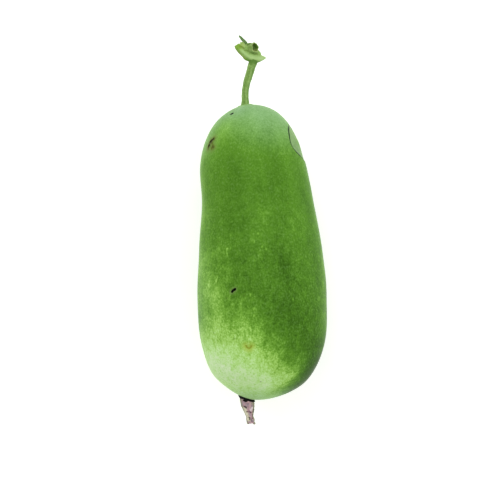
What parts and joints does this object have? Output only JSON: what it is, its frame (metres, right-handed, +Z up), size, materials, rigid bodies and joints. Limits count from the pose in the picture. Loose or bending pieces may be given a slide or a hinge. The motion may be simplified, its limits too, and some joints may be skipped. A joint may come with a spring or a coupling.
{
  "type": "bottle gourd",
  "caption": "Bottle gourd as picked, lying on its side: a long club-shaped fruit with its stalk, a cut stub of vine and the withered flower at the blossom end.",
  "frame": {"origin": "middle of the whole gourd's footprint, on the surface that it lies on", "axes": "+Y along the fruit from the blossom end to the stalk, +Z up from the surface that it lies on, +X to the right for someone who looks down on it with the stalk at the top"},
  "size_m": [0.1138, 0.3412, 0.1103],
  "materials": {
    "gourd_skin": "waxy satin skin with fine velvety down, mottled mid and pale green",
    "stalk": "fresh green stem, ribbed and finely downy",
    "vine": "fresh pale green stem, ribbed and finely downy, with bright cut faces",
    "leaf_stalk": "fresh green stem with a browned hollow cut",
    "tendril": "dark grey-green, wilted and matt",
    "withered_petal": "dry papery petals, grey-pink and cream, on a black foot"
  },
  "bodies": {
    "root": {"gourd_fruit": "gourd_skin", "fruit_stalk": "stalk", "vine_stub": "vine", "leaf_stalk_stub": "leaf_stalk", "tendril_stub": "tendril", "withered_flower": "withered_petal"}
  },
  "joints": []
}
